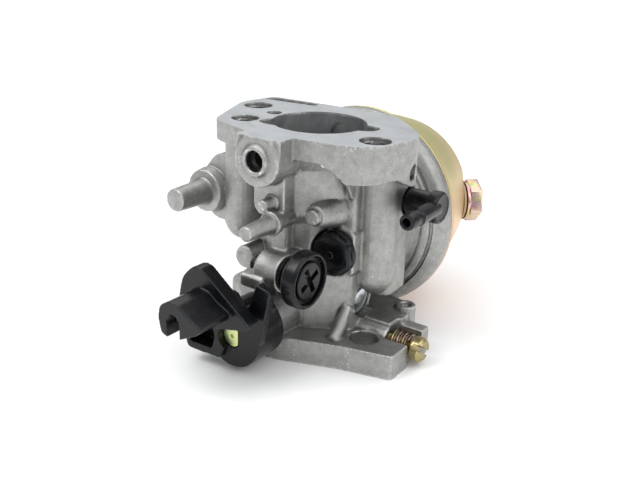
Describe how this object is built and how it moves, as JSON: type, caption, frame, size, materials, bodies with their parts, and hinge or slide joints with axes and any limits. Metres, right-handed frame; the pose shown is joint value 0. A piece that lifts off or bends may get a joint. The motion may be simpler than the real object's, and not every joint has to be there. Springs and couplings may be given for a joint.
{
  "type": "carburetor",
  "caption": "Float-bowl carburetor for a small engine: cast body with a throat between its stud flanges, a turning throttle with its lever, adjusting screws, a float and a drawn steel bowl.",
  "frame": {"origin": "on the throat's axis at the engine flange's face, halfway between the two stud holes", "axes": "+Z along the throat from the engine to the air cleaner, +Y towards the float bowl, +X towards the mixture screw, with the throttle lever at -Y"},
  "size_m": [0.0622, 0.1006, 0.053],
  "materials": {
    "die_cast_alloy": "die-cast, with machined flange faces",
    "black_nylon": "moulded, half gloss",
    "yellow_zinc": "steel with yellow zinc chromate",
    "brass": "turned",
    "bright_steel": "bright",
    "black_rubber": "moulded rubber",
    "gasket": "fibre and rubber",
    "float_plastic": "moulded"
  },
  "bodies": {
    "body": {"body_casting": "die_cast_alloy", "throttle_shaft_seal": "black_rubber", "pilot_jet": "black_nylon", "pilot_jet_o_ring": "black_rubber", "mixture_screw_spring": "yellow_zinc", "vent_elbow": "black_nylon", "fuel_inlet_nipple": "brass", "welch_plug": "bright_steel", "passage_plug": "bright_steel", "float_bowl": "yellow_zinc", "bowl_gasket": "gasket", "bowl_bolt": "yellow_zinc", "bowl_bolt_washer": "gasket", "drain_bolt": "yellow_zinc", "drain_bolt_washer": "gasket", "main_nozzle": "brass", "main_jet": "brass", "needle_seat": "brass", "float_pin": "bright_steel"},
    "throttle": {"throttle_shaft": "yellow_zinc", "throttle_lever": "black_nylon", "throttle_plate": "brass", "throttle_plate_screw_1": "brass", "throttle_plate_screw_2": "brass"},
    "stop_screw": {"idle_stop_screw": "black_nylon"},
    "mixture_needle": {"mixture_screw": "brass"},
    "float_body": {"float": "float_plastic"},
    "inlet_needle": {"float_needle": "brass"}
  },
  "joints": [
    {"name": "throttle_turn", "type": "hinge", "parent": "body", "child": "throttle", "pos_m": [0, 0, 0.0091], "axis": [0, -1, 0], "range_deg": [-48, 26]},
    {"name": "idle_stop_screw_turn", "type": "hinge", "parent": "body", "child": "stop_screw", "pos_m": [0.01, -0.0192, 0.0234], "axis": [1, 0, 0], "range_deg": [-360, 360]},
    {"name": "mixture_screw_turn", "type": "hinge", "parent": "body", "child": "mixture_needle", "pos_m": [0.03, 0.0011, 0.0041], "axis": [1, 0, 0], "range_deg": [-540, 360]},
    {"name": "float_swing", "type": "hinge", "parent": "body", "child": "float_body", "pos_m": [-0.015, 0.0266, 0.0266], "axis": [0, 0, 1], "range_deg": [-3, 7]},
    {"name": "needle_slide", "type": "slide", "parent": "body", "child": "inlet_needle", "axis": [0, 1, 0], "range_m": [-0.0003, 0.0007]}
  ],
  "couplings": [
    {"joint": "needle_slide", "follows": "float_swing", "m_per_rad": 0.0055}
  ]
}
